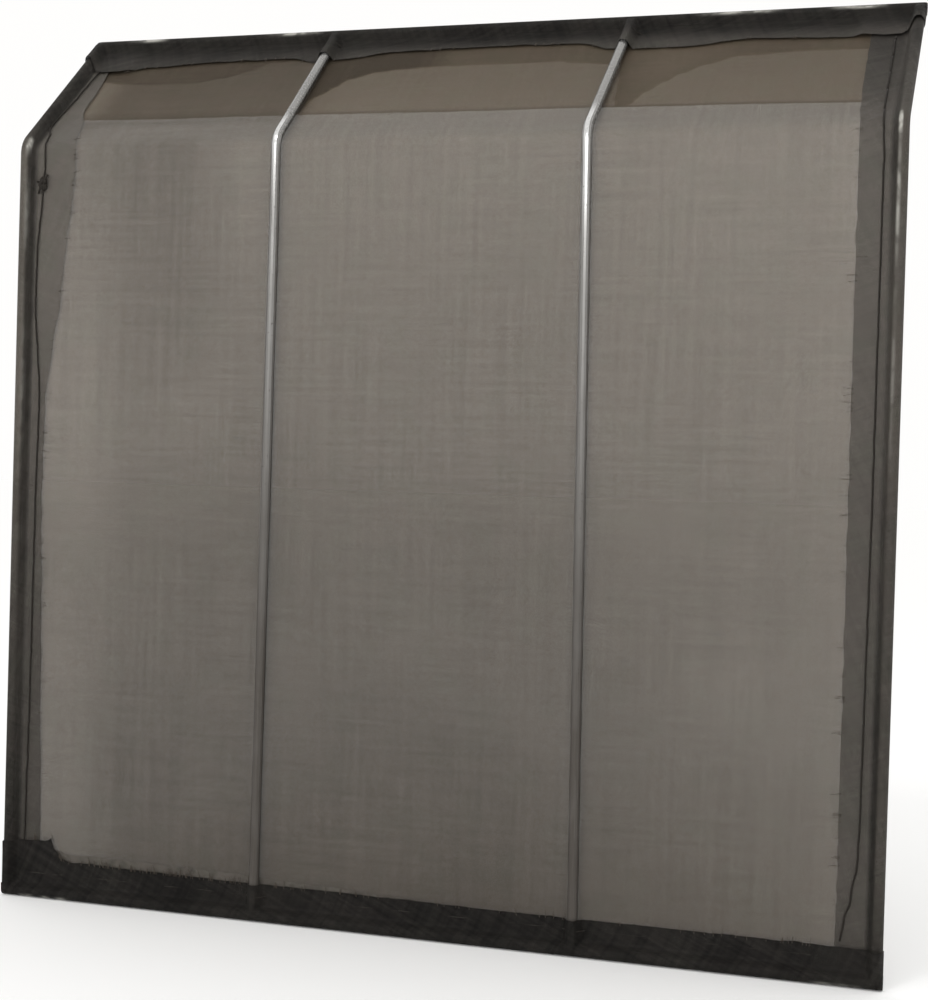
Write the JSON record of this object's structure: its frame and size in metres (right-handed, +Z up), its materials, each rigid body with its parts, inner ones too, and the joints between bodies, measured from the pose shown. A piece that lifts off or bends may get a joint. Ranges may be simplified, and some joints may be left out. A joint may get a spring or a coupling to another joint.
{
  "type": "fireplace screen",
  "caption": "Single-panel lean-to spark screen: round-rod frame with a slanted top, bare bars and hemmed woven wire cloth.",
  "frame": {"origin": "middle of the overall box in X and Y, at hearth level under the bottom hem", "axes": "+Z up, front with the bare bars towards -Y, the slanted top leans back towards +Y, +X to the right seen from the front"},
  "size_m": [0.8468, 0.1607, 0.8698],
  "materials": {
    "bare_steel": "bare steel, bright near the top and tarnished towards the hearth",
    "dark_steel": "dark oxidised steel, hidden in the hems",
    "wire_cloth": "fine plain-woven steel wire, see-through, heat-darkened",
    "hem_cloth": "the same wire cloth in two or more layers, sooty and near black",
    "lacing_wire": "thin black annealed wire"
  },
  "bodies": {
    "root": {"top_rail": "dark_steel", "bottom_rail": "dark_steel", "left_side_rod": "dark_steel", "right_side_rod": "dark_steel", "left_bar": "bare_steel", "right_bar": "bare_steel", "screen_cloth": "wire_cloth", "top_lining": "wire_cloth", "top_facing": "wire_cloth", "bottom_hem": "hem_cloth", "top_hem": "hem_cloth", "left_hem": "hem_cloth", "right_hem": "hem_cloth", "bottom_lacing": "lacing_wire", "top_lacing": "lacing_wire", "left_lacing": "lacing_wire", "right_lacing": "lacing_wire"}
  },
  "joints": []
}
